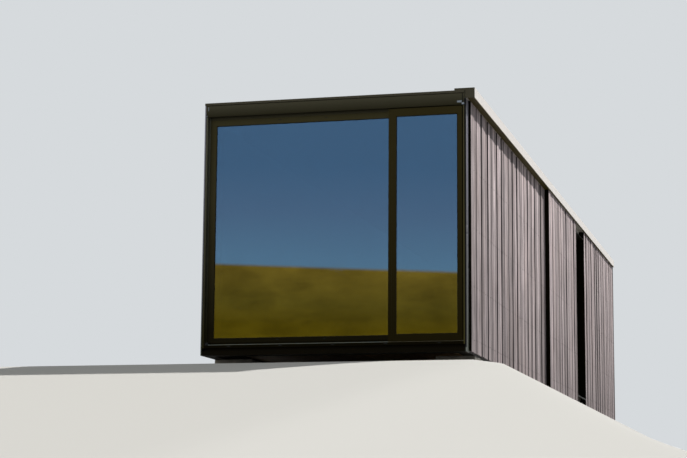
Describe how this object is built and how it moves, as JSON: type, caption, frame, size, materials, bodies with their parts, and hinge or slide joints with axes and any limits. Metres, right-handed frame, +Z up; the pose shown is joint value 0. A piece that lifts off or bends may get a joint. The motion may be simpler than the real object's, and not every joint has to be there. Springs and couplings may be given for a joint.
{
  "type": "shipping container cabin",
  "caption": "Timber-clad shipping container cabin with a glazed front, a sliding glass door, a slot window in its side and a box gutter along the eave.",
  "frame": {"origin": "on the ground, in the middle of the footprint of the whole cabin", "axes": "+Z up, +Y along the cabin away from the glazed front, +X to the right of someone who faces the front"},
  "size_m": [2.842, 12.378, 2.745],
  "materials": {
    "concrete": "rough",
    "base_steel": "satin",
    "floor_ply": "satin",
    "wall_panel": "matte",
    "ceiling_board": "matte",
    "weathered_timber": "matte",
    "dark_frame": "satin",
    "sash_frame": "satin",
    "tinted_glass": "gloss",
    "roof_sheet": "satin",
    "pale_gutter": "satin",
    "track_aluminium": "satin",
    "glide_nylon": "matte"
  },
  "bodies": {
    "cabin": {"footings": "concrete", "base_rail_left": "base_steel", "base_rail_right": "base_steel", "front_channel": "base_steel", "cross_beams": "base_steel", "floor_deck": "floor_ply", "corner_post_left": "wall_panel", "corner_post_right": "wall_panel", "left_wall": "wall_panel", "right_wall_front": "wall_panel", "right_wall_rear": "wall_panel", "back_wall": "wall_panel", "left_cladding": "weathered_timber", "right_cladding_front": "weathered_timber", "right_cladding_middle": "weathered_timber", "right_cladding_rear": "weathered_timber", "back_cladding": "weathered_timber", "cladding_battens": "weathered_timber", "slot_window_frame": "dark_frame", "slot_window_glass": "tinted_glass", "roof_deck": "wall_panel", "roof_sheet": "roof_sheet", "ceiling": "ceiling_board", "gutter_floor": "pale_gutter", "gutter_sides": "pale_gutter", "gutter_stop_ends": "dark_frame", "front_kerb": "dark_frame", "front_fascia": "dark_frame", "front_cap": "dark_frame", "rear_cap": "dark_frame", "left_verge_cap": "dark_frame", "cheek_left": "dark_frame", "cheek_right": "dark_frame", "door_jamb_left": "dark_frame", "door_jamb_right": "dark_frame", "door_head": "dark_frame", "door_head_inner": "dark_frame", "door_sill": "dark_frame", "door_sill_inner": "dark_frame", "door_track": "track_aluminium", "fixed_sash_frame": "sash_frame", "fixed_sash_glass": "tinted_glass"},
    "sliding_door": {"sliding_sash_frame": "sash_frame", "sliding_sash_glass": "tinted_glass", "glides": "glide_nylon"}
  },
  "joints": [
    {"name": "door_slide", "type": "slide", "parent": "cabin", "child": "sliding_door", "axis": [-1, 0, 0], "range_m": [0, 0.668]}
  ]
}
